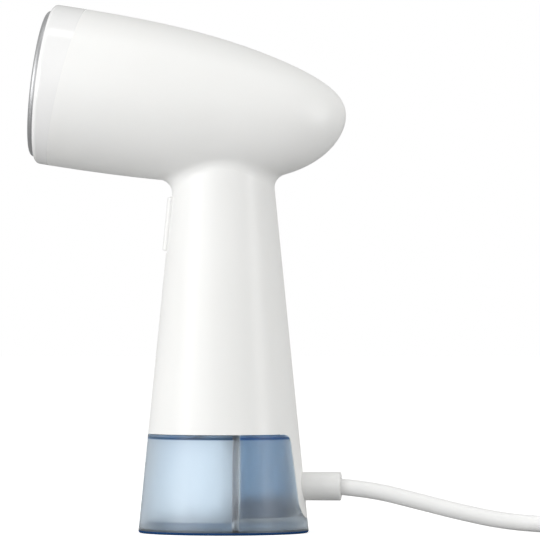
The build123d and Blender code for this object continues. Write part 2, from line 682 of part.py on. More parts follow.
def spine_column():
    face = REAR_WALL_X + TANK_WALL + COLUMN_GAP
    low = SPINE_LOW_Z + 0.4
    core = rod_z(COLUMN_R, low, DOCK_Z) & cone(low, DOCK_Z, WALL + 0.2)
    core &= block(face, 60, -60, 60, low, DOCK_Z)
    backing = cone(low, LOW_EDGE, WALL) & spine_prism(-0.25) & block(20, 60, -60, 60, low, LOW_EDGE)
    column = core + backing
    inner = rod_z(COLUMN_R - COLUMN_WALL, low + COLUMN_WALL, DOCK_Z + 1)
    inner &= block(face + COLUMN_WALL, GLAND_SEAT, -60, 60, low + COLUMN_WALL, DOCK_Z + 1)
    inner &= cone(low, DOCK_Z + 1, WALL + 0.2 + COLUMN_WALL)
    inner += block(face + COLUMN_WALL, GLAND_SEAT, -COLUMN_RIB_Y + 1, COLUMN_RIB_Y - 1,
                   low + COLUMN_WALL, TANK_TOP - 4)
    for side in (-1, 1):
        inner -= block(face, 60, side * COLUMN_RIB_Y - 1, side * COLUMN_RIB_Y + 1, low, DOCK_Z + 1)
        inner -= rod_z(BOSS_R, low, DOCK_Z + 1, POST_X, side * POST_Y)
    column -= inner
    for side in (-1, 1):
        column -= rod_z(SCREW_R, DOCK_Z - 12, DOCK_Z + 1, POST_X, side * POST_Y)
    column -= rod_x(GLAND_R + FIT, GLAND_SEAT - 1, 60, 0, GLAND_Z)
    for side in (-1, 1):
        column -= rod_x(SCREW_R, GLAND_SEAT - 1, GLAND_SEAT + 3.5, side * 6.6, GLAND_Z + 12)
    return column


def column_screws():
    top = DOCK_Z + DOCK_THICK
    screws = []
    for side in (-1, 1):
        x, y = POST_X, side * POST_Y
        screws.append(rod_z(SCREW_R, DOCK_Z - 10, top, x, y)
                      + rod_z(HEAD_SCREW_R, top, top + HEAD_SCREW_H, x, y))
    return Compound(children=screws)


DETENT_Z = TANK_TOP - 10.8


def detent_springs():
    face = REAR_WALL_X + TANK_WALL + COLUMN_GAP
    springs = []
    for side in (-1, 1):
        leaf = block(face - 0.3, face, side * 16 - 2.5, side * 16 + 2.5, DETENT_Z - 12, DETENT_Z + 6)
        bump = rod_y(1.2, side * 16 - 2.5, side * 16 + 2.5, face + 0.35, DETENT_Z)
        bump &= block(face - 2, face, -60, 60, 0, 60)
        springs.append(leaf + bump)
    return Compound(children=springs)


def cord_gland():
    seat = GLAND_SEAT
    gland = rod_x(GLAND_R, seat - GLAND_FLANGE, GLAND_END, 0, GLAND_Z)
    gland = fillet(gland.edges().sort_by(Axis.X)[-1], 0.5)
    gland += rod_x(GLAND_FLANGE_R, seat - GLAND_FLANGE, seat, 0, GLAND_Z)
    gland -= rod_x(CORD_R + 0.3, GLAND_END - GLAND_POCKET, GLAND_END + 1, 0, GLAND_Z)
    return gland - rod_x(CORD_R, seat - 5, GLAND_END, 0, GLAND_Z)


def inner_sheath():
    return rod_x(CORD_R, 19.5, GLAND_END - GLAND_POCKET - 0.4, 0, GLAND_Z)


def cord_clamp():
    x0, x1 = GLAND_SEAT - 8.0, GLAND_SEAT - 3.4
    bar = block(x0, x1, -8.3, 8.3, GLAND_Z + 1.2, GLAND_Z + 7.5)
    bar -= rod_x(CORD_R, x0 - 1, x1 + 1, 0, GLAND_Z)
    foot = block(x0, x1, -8.3, 8.3, GLAND_Z - 6.5, GLAND_Z - 1.2)
    foot -= rod_x(CORD_R, x0 - 1, x1 + 1, 0, GLAND_Z)
    for side in (-1, 1):
        hole = rod_z(1.2, GLAND_Z - 5, GLAND_Z + 9, (x0 + x1) / 2, side * 6.2)
        bar -= hole
        foot -= hole
    return Compound(children=[bar, foot])


def clamp_screws():
    x = GLAND_SEAT - 5.7
    screws = []
    for side in (-1, 1):
        shank = rod_z(1.2, GLAND_Z - 5, GLAND_Z + 7.5, x, side * 6.2)
        screws.append(shank + rod_z(2.0, GLAND_Z + 7.5, GLAND_Z + 9.2, x, side * 6.2))
    return Compound(children=screws)


# ---- water tank ----
def tank_shell():
    shell = cone(BASE_DISC, TANK_TOP)
    shell += rod_z(NECK_R, TANK_TOP - 1, TANK_TOP + NECK_H, NECK_X)
    chamber = cone(BASE_DISC - 1, TANK_TOP - TANK_WALL, TANK_WALL) & block(-60, REAR_WALL_X, -60, 60, 0, 60)
    rear = REAR_WALL_X + TANK_WALL
    pocket = cone(BASE_DISC - 1, TANK_TOP + 1, TANK_WALL) & block(rear, 60, -60, 60, 0, 60)
    shell -= chamber
    shell -= pocket
    shell -= spine_prism(SPINE_CLEAR)
    shell -= rod_z(NECK_BORE, TANK_TOP - 5, TANK_TOP + NECK_H + 1, NECK_X)
    shell -= rod_z(TANK_SEAL_R, TANK_TOP - 5, TANK_TOP + 1, PICKUP_X, PICKUP_Y)
    for side in (-1, 1):
        shell -= rod_y(1.5, side * 16 - 3, side * 16 + 3, rear + 0.95, DETENT_Z)
    return shell


def tank_base():
    disc = cone(FOOT_THICK, BASE_DISC)
    plug = cone(BASE_DISC, FLOOR_Z, TANK_WALL + WELD_CLEAR)
    plug -= block(REAR_WALL_X - WELD_CLEAR, REAR_WALL_X + TANK_WALL + WELD_CLEAR, -60, 60,
                  BASE_DISC, FLOOR_Z + 1)
    return disc + plug


def foot_pad():
    # a soft dark pad welded under the tank
    pad = cone(0, FOOT_THICK)
    return fillet(pad.edges().sort_by(Axis.Z)[0], BASE_FILLET)


def tank_seal():
    low = TANK_TOP - SEAL_LONG
    seal = rod_z(TANK_SEAL_R, low, TANK_TOP, PICKUP_X, PICKUP_Y)
    return seal - rod_z(PICKUP_R + FIT, low - 1, TANK_TOP + 1, PICKUP_X, PICKUP_Y)


def pickup_tube():
    top = TANK_TOP - NIPPLE_DIP - 0.8
    tube_z = rod_z(PICKUP_R, FLOOR_Z + 8, top, PICKUP_X, PICKUP_Y)
    return tube_z - rod_z(PICKUP_BORE, FLOOR_Z, top + 1, PICKUP_X, PICKUP_Y)


def inlet_filter():
    cup = rod_z(PICKUP_R + 1.5, FLOOR_Z, FLOOR_Z + 8, PICKUP_X, PICKUP_Y)
    return cup - rod_z(PICKUP_BORE, FLOOR_Z + 1.5, FLOOR_Z + 9, PICKUP_X, PICKUP_Y)


def fill_cap():
    seat = TANK_TOP + NECK_H + SEAL_THICK
    cap = rod_z(CAP_R, seat, seat + CAP_THICK, NECK_X)
    cap += rod_z(NECK_BORE - 0.3, TANK_TOP - 1, seat, NECK_X)
    cap -= rod_z(NECK_BORE - 2.0, TANK_TOP - 2, seat - 0.6, NECK_X)
    return cap + block(NECK_X - 8, NECK_X + 8, -1.2, 1.2, seat + CAP_THICK, seat + CAP_THICK + TAB_H)


def cap_seal():
    low = TANK_TOP + NECK_H
    ring = rod_z(NECK_R, low, low + SEAL_THICK, NECK_X)
    return ring - rod_z(NECK_BORE - 0.3, low - 1, low + 2, NECK_X)


# ---- cord, coil and plug ----
def cord_lead():
    lead, radii, path = tube(CORD_ROUTE, CORD_R)
    print("cord_lead radii", [round(r) for r in radii], "length", round(path.length),
          "volume ratio", round(lead.volume / (math.pi * CORD_R ** 2 * path.length), 4))
    return lead


def cord_tail():
    tail, radii, path = tube(TAIL_ROUTE, CORD_R)
    print("cord_tail radii", [round(r) for r in radii], "length", round(path.length),
          "volume ratio", round(tail.volume / (math.pi * CORD_R ** 2 * path.length), 4))
    return tail


def cord_coil():
    # the outer shape of the wound turns: full layers, and half a turn on top of the outer ones
    ring = rod_z(TURN_OUT + CORD_R, COIL_LIFT, COIL_TOP, COIL_X, COIL_Y)
    ring -= rod_z(TURN_IN - CORD_R, COIL_LIFT - 1, COIL_TOP + 1, COIL_X, COIL_Y)
    top_turn = rod_z(TURN_OUT + CORD_R, COIL_TOP, TOP_TURN + CORD_R, COIL_X, COIL_Y)
    top_turn -= rod_z(TURN_OUT - CORD_R, COIL_TOP - 1, TOP_TURN + CORD_R + 1, COIL_X, COIL_Y)
    top_turn &= block(COIL_X - 80, COIL_X, COIL_Y - 80, COIL_Y + 80, COIL_TOP, TOP_TURN + CORD_R)
    return ring + top_turn


def coil_tie():
    # a strap wrapped tightly round the bundle, over the top turn
    near = TURN_IN - CORD_R
    far = TURN_OUT + CORD_R
    high = TOP_TURN + CORD_R
    bundle = Polygon((near, COIL_LIFT), (far, COIL_LIFT), (far, high), (TURN_OUT - CORD_R, high),
                     (near, COIL_TOP), align=None)
    band = offset(bundle, TIE_CLEAR + TIE_THICK) - offset(bundle, TIE_CLEAR)
    band = extrude(Plane.XZ * band, TIE_WIDE / 2, both=True)
    return Pos(COIL_X, COIL_Y, 0) * Rot(0, 0, TIE_ANGLE) * band


def at_plug():
    # the plug is drawn along +Y from the end of the lead, then turned
    x, y, z = TAIL_ROUTE[-1]
    return Pos(x, y, z) * Rot(0, 0, PLUG_TURN - 90)


def plug_relief():
    relief = Rot(-90, 0, 0) * Cone(CORD_R + 0.9, CORD_R + 2.6, PLUG_RELIEF, align=BASE)
    return at_plug() * relief


def plug_body():
    back = Plane(origin=(0, PLUG_RELIEF, 0), x_dir=(1, 0, 0), z_dir=(0, 1, 0))
    shoulder = Plane(origin=(0, PLUG_RELIEF + 10, 0), x_dir=(1, 0, 0), z_dir=(0, 1, 0))
    full = RectangleRounded(PLUG_W, PLUG_H, 6)
    body = loft([back * RectangleRounded(15.0, 14.0, 5.5), shoulder * full])
    body += extrude(shoulder * full, PLUG_LONG - 10)
    body -= plug_blade_pair()
    return at_plug() * body


def plug_blade_pair():
    face = PLUG_RELIEF + PLUG_LONG
    pair = []
    for side in (-1, 1):
        x = side * BLADE_APART / 2
        blade = block(x - BLADE_THICK / 2, x + BLADE_THICK / 2, face - BLADE_ROOT, face + BLADE_LONG,
                      -BLADE_W / 2, BLADE_W / 2)
        tips = blade.edges().filter_by(Axis.X).group_by(Axis.Y)[-1]
        pair.append(chamfer(tips, 1.4))
    return pair


def plug_pins():
    return at_plug() * Compound(children=plug_blade_pair())


PIECES = [front_collar, steam_plate, plate_gasket, steam_chamber, boiler_bracket,
          plate_screws, bracket_screws, thermostat, thermal_fuse, inlet_elbow, pump_hose, heater_wires,
          pump_body, pump_coil, pump_frame, pump_mounts, pump_piston, suction_hose, control_board,
          board_parts, supply_wires, trigger, trigger_pin, switch_bracket, microswitch,
          switch_plunger, trigger_spring, dock_plate, dock_nipple, dock_screws, spine_column,
          column_screws, detent_springs, cord_gland, inner_sheath, cord_clamp, clamp_screws,
          tank_shell, tank_base, foot_pad, tank_seal, pickup_tube, inlet_filter, fill_cap, cap_seal,
          cord_lead, cord_tail, cord_coil, coil_tie, plug_relief, plug_body, plug_pins]

os.makedirs("parts", exist_ok=True)
export_step(casing_shell(-1), "parts/shell_left.step")
export_step(casing_shell(1), "parts/shell_right.step")
export_step(element_form(), "parts/heating_element.step")
for piece in PIECES:
    export_step(piece(), f"parts/{piece.__name__}.step")
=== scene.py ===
import math

import bmesh
import bpy
from mathutils import Matrix, Vector


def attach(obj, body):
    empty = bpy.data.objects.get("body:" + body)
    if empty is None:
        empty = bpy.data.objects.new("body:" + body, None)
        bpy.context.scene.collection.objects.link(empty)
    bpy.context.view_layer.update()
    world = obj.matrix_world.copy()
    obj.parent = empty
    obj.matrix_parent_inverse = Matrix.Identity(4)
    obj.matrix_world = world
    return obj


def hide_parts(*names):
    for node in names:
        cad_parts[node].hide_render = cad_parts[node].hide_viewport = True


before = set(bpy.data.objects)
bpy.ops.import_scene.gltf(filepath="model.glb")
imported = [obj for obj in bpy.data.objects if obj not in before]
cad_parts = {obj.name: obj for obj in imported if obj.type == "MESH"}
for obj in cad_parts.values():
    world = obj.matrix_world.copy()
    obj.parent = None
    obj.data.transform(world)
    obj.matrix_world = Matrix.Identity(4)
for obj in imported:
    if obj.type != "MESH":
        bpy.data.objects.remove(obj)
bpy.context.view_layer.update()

# ---- Stage, light and camera ----
# The steamer stands on a plain white table top in a white room.  A softbox hangs above it, a
# tall one stands past the steam plate and a narrow one past the lead, with a broad fill in
# front; the camera looks level across the table from the side, a little from the lead's end.
scene = bpy.context.scene
scene.view_settings.view_transform = "Standard"


def white_to_the_eye(tree, glow, wall, output):
    # what is seen directly or through the tank is plain white; the rest only gives light
    pick = tree.nodes.new("ShaderNodeMixShader")
    rays = tree.nodes.new("ShaderNodeLightPath")
    seen = tree.nodes.new("ShaderNodeMath")
    seen.operation = "MAXIMUM"
    tree.links.new(rays.outputs["Is Camera Ray"], seen.inputs[0])
    tree.links.new(rays.outputs["Is Transmission Ray"], seen.inputs[1])
    tree.links.new(seen.outputs["Value"], pick.inputs["Fac"])
    tree.links.new(glow, pick.inputs[1])
    tree.links.new(wall, pick.inputs[2])
    tree.links.new(pick.outputs["Shader"], output.inputs["Surface"])


room = bpy.data.worlds.new("room")
scene.world = room
room.use_nodes = True
room_tree = room.node_tree
room_glow = room_tree.nodes["Background"]
room_glow.inputs["Color"].default_value = (1.0, 1.0, 0.985, 1.0)
room_glow.inputs["Strength"].default_value = 0.55
room_wall = room_tree.nodes.new("ShaderNodeBackground")
room_wall.inputs["Color"].default_value = (1.0, 1.0, 1.0, 1.0)
white_to_the_eye(room_tree, room_glow.outputs["Background"], room_wall.outputs["Background"],
                 room_tree.nodes["World Output"])


def soft_light(name, place, aim, size, power):
    lamp = bpy.data.lights.new(name, "AREA")
    lamp.shape = "RECTANGLE"
    lamp.size, lamp.size_y = size
    lamp.energy = power
    obj = bpy.data.objects.new(name, lamp)
    scene.collection.objects.link(obj)
    obj.location = place
    obj.rotation_euler = (Vector(aim) - Vector(place)).to_track_quat("-Z", "Y").to_euler()


soft_light("top_softbox", (0.0, -0.2, 1.4), (0.0, 0.0, 0.2), (1.5, 0.28), 2.3)
soft_light("plate_softbox", (-1.05, -0.74, 0.25), (0.0, 0.0, 0.13), (0.5, 1.1), 9.8)
soft_light("lead_strip", (1.22, -0.46, 0.25), (0.0, 0.0, 0.13), (0.12, 1.1), 6.6)
soft_light("side_fill", (-0.9, -1.5, 0.3), (0.0, 0.0, 0.12), (0.8, 1.0), 6.7)

table_mesh = bpy.data.meshes.new("table_top")
table_bm = bmesh.new()
bmesh.ops.create_grid(table_bm, x_segments=1, y_segments=1, size=6.0)
table_bm.to_mesh(table_mesh)
table_bm.free()
table_top = bpy.data.objects.new("table_top", table_mesh)
scene.collection.objects.link(table_top)
table_paint = bpy.data.materials.new("table_paint")
table_paint.use_nodes = True
table_tree = table_paint.node_tree
table_shader = table_tree.nodes["Principled BSDF"]
table_shader.inputs["Base Color"].default_value = (0.4, 0.4, 0.4, 1.0)
table_shader.inputs["Roughness"].default_value = 0.6
table_white = table_tree.nodes.new("ShaderNodeBsdfDiffuse")
table_white.inputs["Color"].default_value = (0.8, 0.8, 0.8, 1.0)
table_glow = table_tree.nodes.new("ShaderNodeEmission")
table_glow.inputs["Color"].default_value = (1.0, 1.0, 1.0, 1.0)
table_glow.inputs["Strength"].default_value = 0.62
table_sum = table_tree.nodes.new("ShaderNodeAddShader")
table_tree.links.new(table_white.outputs["BSDF"], table_sum.inputs[0])
table_tree.links.new(table_glow.outputs["Emission"], table_sum.inputs[1])
white_to_the_eye(table_tree, table_shader.outputs["BSDF"], table_sum.outputs["Shader"],
                 table_tree.nodes["Material Output"])
table_mesh.materials.append(table_paint)

LOOK_AT = Vector((0.0212, 0.0, 0.1194))
LOOK_FROM = math.radians(5.3)
LOOK_DISTANCE = 3.0
lens = bpy.data.cameras.new("camera")
lens.sensor_width = 36.0
lens.lens = 440.0
camera = bpy.data.objects.new("camera", lens)
scene.collection.objects.link(camera)
look_back = Vector((math.sin(LOOK_FROM), -math.cos(LOOK_FROM), 0.0))
camera.location = LOOK_AT + look_back * LOOK_DISTANCE
camera.rotation_euler = (-look_back).to_track_quat("-Z", "Y").to_euler()
scene.camera = camera

# ---- Mains lead ----
# A round two-core lead in a smooth white PVC sheath.  It leaves the strain relief behind the
# tank, sinks to the table, and its spare length is wound into a neat coil held by a strap.
LEAD_D = 0.0075
TURN_IN = 0.0374
TURN_OUT = 0.0449
COIL_X, COIL_Y = 0.194, 0.0349
COIL_LIFT = 0.0008         # the strap lies under the turns
LAYER_1 = COIL_LIFT + LEAD_D / 2
LAYER_2 = LAYER_1 + LEAD_D
LAYER_3 = LAYER_2 + LEAD_D
LAYER_TOP = LAYER_3 + LEAD_D
PLUG_Z = 0.032             # the plug lies on the turns
POINTS_PER_TURN = 20
lead_route = [(0.0506, 0.0, 0.0212), (0.067, 0.0003, 0.0199), (0.088, 0.0012, 0.0146),
              (0.108, 0.0006, 0.0096), (0.128, -0.0014, 0.0056), (0.149, -0.0049, 0.0042),
              (0.1715, -0.0090, 0.0044)]
tail_route = [(COIL_X - 0.0274, COIL_Y - 0.0351, LAYER_TOP), (COIL_X - 0.0162, COIL_Y - 0.0406, 0.0272),
              (COIL_X - 0.0038, COIL_Y - 0.0422, 0.0276), (COIL_X + 0.0080, COIL_Y - 0.0389, 0.0286),
              (COIL_X + 0.0184, COIL_Y - 0.0312, 0.0304), (COIL_X + 0.0264, COIL_Y - 0.0177, PLUG_Z)]
# where each turn lies in the bundle (radius, height), and the share of the turn after which the
# lead moves on to the next place
turn_places = [(TURN_OUT, LAYER_1, 0.85), (TURN_IN, LAYER_1, 0.78), (TURN_IN, LAYER_2, 0.71),
               (TURN_OUT, LAYER_2, 0.64), (TURN_OUT, LAYER_3, 0.56), (TURN_IN, LAYER_3, 0.4)]
MOVE_SHARE = 0.15          # the share of a turn that a move takes
TURNS_WOUND = 5.85


def on_coil(turns):
    # the middle of the lead after so many turns, starting on the coil's -Y side
    k = int(turns)
    part = turns - k
    radius, height, leave = turn_places[k]
    if part >= leave:
        onward = (turn_places + [(TURN_OUT, LAYER_TOP, 1.0)])[k + 1]
        share = min((part - leave) / MOVE_SHARE, 1.0)
        share = share * share * (3 - 2 * share)
        radius += (onward[0] - radius) * share
        height += (onward[1] - height) * share
    angle = 2 * math.pi * turns - math.pi / 2
    return (COIL_X + radius * math.cos(angle), COIL_Y + radius * math.sin(angle), height)


coil_steps = round(TURNS_WOUND * POINTS_PER_TURN)
coil_points = [on_coil(k / POINTS_PER_TURN) for k in range(coil_steps + 1)]
lead_points = lead_route + coil_points + tail_route
lead_curve = bpy.data.curves.new("mains_lead", "CURVE")
lead_curve.dimensions = "3D"
lead_spline = lead_curve.splines.new("NURBS")
lead_spline.points.add(len(lead_points) - 1)
for control, middle in zip(lead_spline.points, lead_points):
    control.co = (*middle, 1.0)
lead_spline.order_u = 3
lead_spline.use_endpoint_u = True
lead_spline.resolution_u = 6
lead_curve.resolution_u = 6
lead_curve.bevel_depth = LEAD_D / 2
lead_curve.bevel_resolution = 6
lead_curve.use_fill_caps = True
mains_lead = bpy.data.objects.new("mains_lead", lead_curve)
scene.collection.objects.link(mains_lead)


def new_material(name):
    # a Principled material with Object coordinates ready, returned with its parts
    material = bpy.data.materials.new(name)
    material.use_nodes = True
    tree = material.node_tree
    coords = tree.nodes.new("ShaderNodeTexCoord")
    return material, tree, tree.nodes["Principled BSDF"], coords.outputs["Object"]


def noise(tree, vector, scale, detail=3.0, roughness=0.5):
    node = tree.nodes.new("ShaderNodeTexNoise")
    node.inputs["Scale"].default_value = scale
    node.inputs["Detail"].default_value = detail
    node.inputs["Roughness"].default_value = roughness
    tree.links.new(vector, node.inputs["Vector"])
    return node.outputs["Fac"]


def spread(tree, value, low, high, start=0.35, end=0.65):
    # maps a 0 to 1 pattern onto a range of numbers
    node = tree.nodes.new("ShaderNodeMapRange")
    node.inputs["From Min"].default_value = start
    node.inputs["From Max"].default_value = end
    node.inputs["To Min"].default_value = low
    node.inputs["To Max"].default_value = high
    tree.links.new(value, node.inputs["Value"])
    return node.outputs["Result"]


def tint(tree, value, dark, light):
    # mixes two close colours by a 0 to 1 pattern
    node = tree.nodes.new("ShaderNodeMix")
    node.data_type = "RGBA"
    node.inputs["A"].default_value = (*dark, 1.0)
    node.inputs["B"].default_value = (*light, 1.0)
    tree.links.new(spread(tree, value, 0.0, 1.0), node.inputs["Factor"])
    return node.outputs["Result"]


def bump(tree, shader, height, distance, strength):
    # a fine relief, its height in metres
    node = tree.nodes.new("ShaderNodeBump")
    node.inputs["Distance"].default_value = distance
    node.inputs["Strength"].default_value = strength
    tree.links.new(height, node.inputs["Height"])
    tree.links.new(node.outputs["Normal"], shader.inputs["Normal"])


def dress(material, *nodes):
    # gives the pieces that keep their shape from the frame their finish
    for node in nodes:
        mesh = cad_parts[node].data
        mesh.materials.clear()
        mesh.materials.append(material)


white_pvc, tree, shader, place = new_material("white_pvc")
lead_grain = noise(tree, place, 900.0, detail=2.0)
shader.inputs["Subsurface Weight"].default_value = 0.06
shader.inputs["Subsurface Radius"].default_value = (0.002, 0.002, 0.0018)
tree.links.new(tint(tree, noise(tree, place, 60.0), (0.9, 0.9, 0.895), (0.93, 0.93, 0.925)),
               shader.inputs["Base Color"])
tree.links.new(spread(tree, lead_grain, 0.34, 0.46), shader.inputs["Roughness"])
bump(tree, shader, lead_grain, 0.00006, 0.5)
lead_curve.materials.append(white_pvc)
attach(mains_lead, "casing")
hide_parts("cord_lead", "cord_coil", "cord_tail")
dress(white_pvc, "inner_sheath")

# ---- Plug and its sleeve ----
# A two-blade plug moulded on to the lead in the same PVC, with grip ridges on its flanks, and a
# ribbed sleeve behind it, made straight.  Both lie on the coil.
PLUG_TURN = math.radians(-30.0)
SLEEVE_LONG = 0.020
SLEEVE_R = 0.0047          # at the thin end
SLEEVE_FLARE = 0.0014      # how far the last rib stands out past the thin end
SLEEVE_GRIP = 0.0002       # the sleeve closes on the lead by this much
SLEEVE_RIBS = 5
RIB_DEEP = 0.0006
RIB_WIDE = 0.0032
PLUG_LONG = 0.030
PLUG_W = 0.024
PLUG_H = 0.017
PLUG_ROUND = 0.006
NECK_LONG = 0.009          # over which the plug narrows towards the sleeve
NECK_W = 0.6               # share of the plug's width left at the sleeve
NECK_H = 0.8               # share of its height
FACE_ROUND = 0.0012
RIDGES = 5
RIDGE_SIZE = (0.0008, 0.0012, 0.0052)
RIDGE_ROUND = 0.0003
RIDGE_X = PLUG_W / 2 - 0.0001
RIDGE_FROM = 0.0125        # from the sleeve to the first ridge
RIDGE_STEP = 0.003
plug_frame = Matrix.Translation(tail_route[-1]) @ Matrix.Rotation(PLUG_TURN, 4, "Z")


def finish_piece(name, bm, body, material, stands_for):
    # writes the bmesh to a smooth piece at the origin that rides on its body
    bmesh.ops.remove_doubles(bm, verts=bm.verts, dist=1e-6)
    bmesh.ops.recalc_face_normals(bm, faces=bm.faces)
    for face in bm.faces:
        face.smooth = True
    mesh = bpy.data.meshes.new(name)
    bm.to_mesh(mesh)
    bm.free()
    piece = bpy.data.objects.new(name, mesh)
    scene.collection.objects.link(piece)
    mesh.materials.append(material)
    mesh.set_sharp_from_angle(angle=math.radians(40))
    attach(piece, body)
    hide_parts(*stands_for)
    return piece


def scaled_cube(bm, size, centre):
    made = bmesh.ops.create_cube(bm, size=1.0)
    bmesh.ops.scale(bm, vec=size, verts=made["verts"])
    bmesh.ops.translate(bm, vec=centre, verts=made["verts"])
    return made["verts"]


def edges_along(verts, axis):
    edges = {edge for vert in verts for edge in vert.link_edges}
    return [e for e in edges if abs((e.verts[0].co - e.verts[1].co).normalized()[axis]) > 0.99]


def round_edges(bm, edges, offset, segments):
    bmesh.ops.bevel(bm, geom=edges, offset=offset, affect="EDGES", segments=segments, profile=0.5,
                    material=-1)


sleeve_bm = bmesh.new()
sleeve_bore = LEAD_D / 2 - SLEEVE_GRIP
sleeve_outline = [(0.0, sleeve_bore), (0.0, SLEEVE_R)]
for rib in range(SLEEVE_RIBS):
    start = (rib + 0.25) * SLEEVE_LONG / SLEEVE_RIBS
    radius = SLEEVE_R + SLEEVE_FLARE * (rib + 1) / SLEEVE_RIBS
    sleeve_outline += [(start, radius - RIB_DEEP), (start + RIB_DEEP, radius),
                       (start + RIB_WIDE - RIB_DEEP, radius), (start + RIB_WIDE, radius - RIB_DEEP)]
sleeve_outline.append((SLEEVE_LONG, sleeve_bore))
sleeve_verts = [sleeve_bm.verts.new((r, y, 0.0)) for y, r in sleeve_outline]
sleeve_edges = [sleeve_bm.edges.new(pair) for pair in zip(sleeve_verts, sleeve_verts[1:])]
bmesh.ops.spin(sleeve_bm, geom=sleeve_verts + sleeve_edges, cent=(0, 0, 0), axis=(0, 1, 0),
               angle=2 * math.pi, steps=40, use_merge=True)
bmesh.ops.holes_fill(sleeve_bm, edges=[e for e in sleeve_bm.edges if e.is_boundary])
bmesh.ops.transform(sleeve_bm, matrix=plug_frame, verts=sleeve_bm.verts)
plug_sleeve = finish_piece("plug_sleeve", sleeve_bm, "casing", white_pvc, ["plug_relief"])

plug_bm = bmesh.new()
plug_verts = scaled_cube(plug_bm, (PLUG_W, PLUG_LONG, PLUG_H), (0, SLEEVE_LONG + PLUG_LONG / 2, 0))
round_edges(plug_bm, edges_along(plug_verts, 1), PLUG_ROUND, 6)
for third in (1, 2, 3):
    bmesh.ops.bisect_plane(plug_bm, geom=plug_bm.verts[:] + plug_bm.edges[:] + plug_bm.faces[:],
                           plane_co=(0, SLEEVE_LONG + NECK_LONG * third / 3, 0), plane_no=(0, 1, 0))
for vert in plug_bm.verts:
    along = min(max((vert.co.y - SLEEVE_LONG) / NECK_LONG, 0.0), 1.0)
    swell = math.sin(along * math.pi / 2)
    vert.co.x *= NECK_W + (1 - NECK_W) * swell
    vert.co.z *= NECK_H + (1 - NECK_H) * swell
face_y = SLEEVE_LONG + PLUG_LONG - 1e-5
face_edges = [e for e in plug_bm.edges if min(v.co.y for v in e.verts) > face_y]
round_edges(plug_bm, face_edges, FACE_ROUND, 3)
for side in (-1, 1):
    for ridge in range(RIDGES):
        ridge_y = SLEEVE_LONG + RIDGE_FROM + RIDGE_STEP * ridge
        ridge_verts = scaled_cube(plug_bm, RIDGE_SIZE, (side * RIDGE_X, ridge_y, 0))
        round_edges(plug_bm, edges_along(ridge_verts, 2), RIDGE_ROUND, 2)
bmesh.ops.transform(plug_bm, matrix=plug_frame, verts=plug_bm.verts)
mains_plug = finish_piece("mains_plug", plug_bm, "casing", white_pvc, ["plug_body"])

blade_metal, tree, shader, place = new_material("blade_metal")
blade_marks = noise(tree, place, 700.0, detail=3.0)
shader.inputs["Metallic"].default_value = 1.0
tree.links.new(tint(tree, blade_marks, (0.66, 0.64, 0.6), (0.78, 0.76, 0.72)),
               shader.inputs["Base Color"])
tree.links.new(spread(tree, blade_marks, 0.16, 0.3), shader.inputs["Roughness"])
bump(tree, shader, noise(tree, place, 2400.0), 0.00001, 0.4)
dress(blade_metal, "plug_pins")

# ---- Strap round the coil ----
# A dark woven hook-and-loop strap, 12 mm wide, pulled once round all the turns of the coil and
# pressed on to itself, so that the spare lead stays together.
STRAP_WIDE = 0.012
STRAP_THICK = 0.0006
STRAP_GAP = 0.0003
STRAP_ROUND = 0.0028
STRAP_AT = math.radians(200.0)
SLOPE_FROM = TURN_OUT - 0.0020      # the strap slopes down inwards from the single top turn
SLOPE_TO = LAYER_3 + 0.0022
strap_bm = bmesh.new()
near = TURN_IN - LEAD_D / 2 - STRAP_GAP
far = TURN_OUT + LEAD_D / 2 + STRAP_GAP
low = COIL_LIFT - STRAP_GAP / 2
high = LAYER_TOP + LEAD_D / 2 + STRAP_GAP
strap_corners = [(near, low), (far, low), (far, high), (SLOPE_FROM, high), (near, SLOPE_TO)]
strap_bm.faces.new([strap_bm.verts.new((x, -STRAP_WIDE / 2, z)) for x, z in strap_corners])
bmesh.ops.bevel(strap_bm, geom=strap_bm.verts[:], offset=STRAP_ROUND, affect="VERTICES", segments=8,
                profile=0.5, material=-1)
bmesh.ops.delete(strap_bm, geom=strap_bm.faces[:], context="FACES_ONLY")
strap_wall = bmesh.ops.extrude_edge_only(strap_bm, edges=strap_bm.edges[:])
strap_far = [v for v in strap_wall["geom"] if isinstance(v, bmesh.types.BMVert)]
bmesh.ops.translate(strap_bm, vec=(0, STRAP_WIDE, 0), verts=strap_far)
bmesh.ops.recalc_face_normals(strap_bm, faces=strap_bm.faces)
bmesh.ops.solidify(strap_bm, geom=strap_bm.faces[:], thickness=-STRAP_THICK)
strap_frame = Matrix.Translation((COIL_X, COIL_Y, 0)) @ Matrix.Rotation(STRAP_AT, 4, "Z")
bmesh.ops.transform(strap_bm, matrix=strap_frame, verts=strap_bm.verts)

loop_fabric, tree, shader, place = new_material("loop_fabric")
strap_turn = tree.nodes.new("ShaderNodeMapping")
strap_turn.inputs["Rotation"].default_value = (0.0, 0.0, -STRAP_AT)
tree.links.new(place, strap_turn.inputs["Vector"])
weave_marks = []           # the threads along the strap, then those across it
for direction in ("Y", "Z"):
    threads = tree.nodes.new("ShaderNodeTexWave")
    threads.bands_direction = direction
    threads.inputs["Scale"].default_value = 420.0
    threads.inputs["Distortion"].default_value = 0.6
    threads.inputs["Detail Scale"].default_value = 3.0
    tree.links.new(strap_turn.outputs["Vector"], threads.inputs["Vector"])
    weave_marks.append(threads.outputs["Fac"])
crossing = tree.nodes.new("ShaderNodeMath")
crossing.operation = "MULTIPLY"
tree.links.new(weave_marks[0], crossing.inputs[0])
tree.links.new(weave_marks[1], crossing.inputs[1])
tree.links.new(tint(tree, crossing.outputs["Value"], (0.05, 0.05, 0.055), (0.12, 0.12, 0.13)),
               shader.inputs["Base Color"])
tree.links.new(spread(tree, weave_marks[0], 0.8, 0.95), shader.inputs["Roughness"])
shader.inputs["Sheen Weight"].default_value = 0.3
